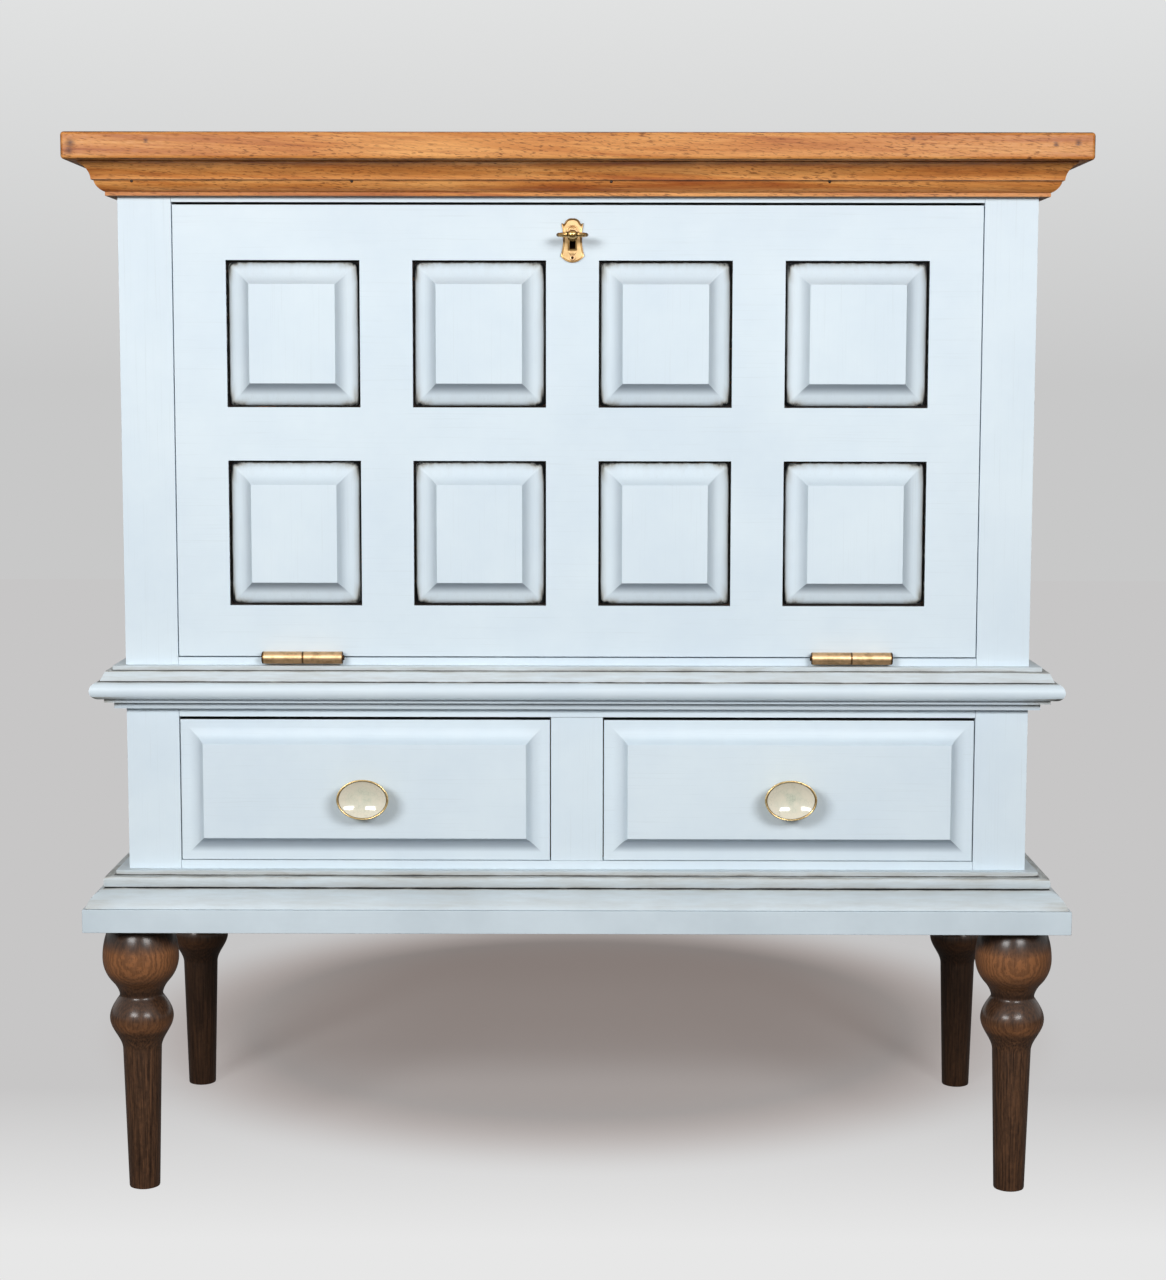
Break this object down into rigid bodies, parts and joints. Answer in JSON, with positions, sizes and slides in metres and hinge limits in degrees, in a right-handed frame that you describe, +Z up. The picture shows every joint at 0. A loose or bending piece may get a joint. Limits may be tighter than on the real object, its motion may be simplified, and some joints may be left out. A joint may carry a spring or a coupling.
{
  "type": "fall-front bar cabinet",
  "caption": "Painted bar cabinet with a clear-finished wood top, a panelled drop-down front on barrel hinges, drawers with oval knobs, and turned dark legs.",
  "frame": {"origin": "on the floor under the middle of the whole cabinet", "axes": "+Z up, the front faces -Y, +X to the right as seen from the front"},
  "size_m": [0.938, 0.449, 1.0009],
  "materials": {
    "blue_paint": "pale blue satin chalk paint on wood, with dark antiquing in the grooves",
    "honey_wood": "clear satin finish on honey-coloured hardwood",
    "dark_walnut": "dark walnut stain under satin varnish",
    "plain_wood": "plain inside timber and thin board",
    "brass": "warm brushed brass",
    "steel": "plain lock steel",
    "gilt_and_ivory": "crackle-glazed ivory insert in a gilt cup"
  },
  "bodies": {
    "carcass": {"top_board": "honey_wood", "stile_left": "blue_paint", "side_panel_left": "blue_paint", "stile_right": "blue_paint", "side_panel_right": "blue_paint", "back_panel": "plain_wood", "top_rail": "blue_paint", "waist_rail": "blue_paint", "bottom_rail": "blue_paint", "drawer_mullion": "blue_paint", "bar_floor": "honey_wood", "cornice_front": "honey_wood", "cornice_left": "honey_wood", "cornice_right": "honey_wood", "waist_moulding_front": "blue_paint", "waist_moulding_left": "blue_paint", "waist_moulding_right": "blue_paint", "base_moulding_front": "blue_paint", "base_moulding_left": "blue_paint", "base_moulding_right": "blue_paint", "plinth_board": "blue_paint", "leg_front_left": "dark_walnut", "leg_front_right": "dark_walnut", "leg_rear_left": "dark_walnut", "leg_rear_right": "dark_walnut", "hinge_left_frame_leaf": "brass", "hinge_right_frame_leaf": "brass", "runner_left": "plain_wood", "runner_right": "plain_wood", "runner_centre": "plain_wood"},
    "fall_front": {"fall_frame": "blue_paint", "fall_worktop": "honey_wood", "fall_panel_1_1": "blue_paint", "fall_panel_1_2": "blue_paint", "fall_panel_1_3": "blue_paint", "fall_panel_1_4": "blue_paint", "fall_panel_2_1": "blue_paint", "fall_panel_2_2": "blue_paint", "fall_panel_2_3": "blue_paint", "fall_panel_2_4": "blue_paint", "hinge_left_door_leaf": "brass", "hinge_right_door_leaf": "brass", "stay_left": "brass", "stay_right": "brass", "escutcheon": "brass", "lock_case": "steel"},
    "key": {"key": "brass"},
    "lock_bolt": {"lock_bolt": "steel"},
    "drawer_left": {"drawer_left_front": "blue_paint", "drawer_left_side_left": "plain_wood", "drawer_left_side_right": "plain_wood", "drawer_left_back": "plain_wood", "drawer_left_bottom": "plain_wood", "drawer_left_knob": "gilt_and_ivory"},
    "drawer_right": {"drawer_right_front": "blue_paint", "drawer_right_side_left": "plain_wood", "drawer_right_side_right": "plain_wood", "drawer_right_back": "plain_wood", "drawer_right_bottom": "plain_wood", "drawer_right_knob": "gilt_and_ivory"}
  },
  "joints": [
    {"name": "fall_front_hinge", "type": "hinge", "parent": "carcass", "child": "fall_front", "pos_m": [0, -0.1877, 0.5173], "axis": [1, 0, 0], "range_deg": [0, 90]},
    {"name": "key_turn", "type": "hinge", "parent": "fall_front", "child": "key", "pos_m": [-0.0047, -0.1815, 0.9097], "axis": [0, 1, 0], "range_deg": [0, 90]},
    {"name": "lock_bolt_slide", "type": "slide", "parent": "fall_front", "child": "lock_bolt", "axis": [0, 0, 1], "range_m": [0, 0.009]},
    {"name": "drawer_left_slide", "type": "slide", "parent": "carcass", "child": "drawer_left", "axis": [0, -1, 0], "range_m": [0, 0.26]},
    {"name": "drawer_right_slide", "type": "slide", "parent": "carcass", "child": "drawer_right", "axis": [0, -1, 0], "range_m": [0, 0.26]}
  ],
  "couplings": [
    {"joint": "lock_bolt_slide", "follows": "key_turn", "m_per_rad": 0.0057295}
  ]
}
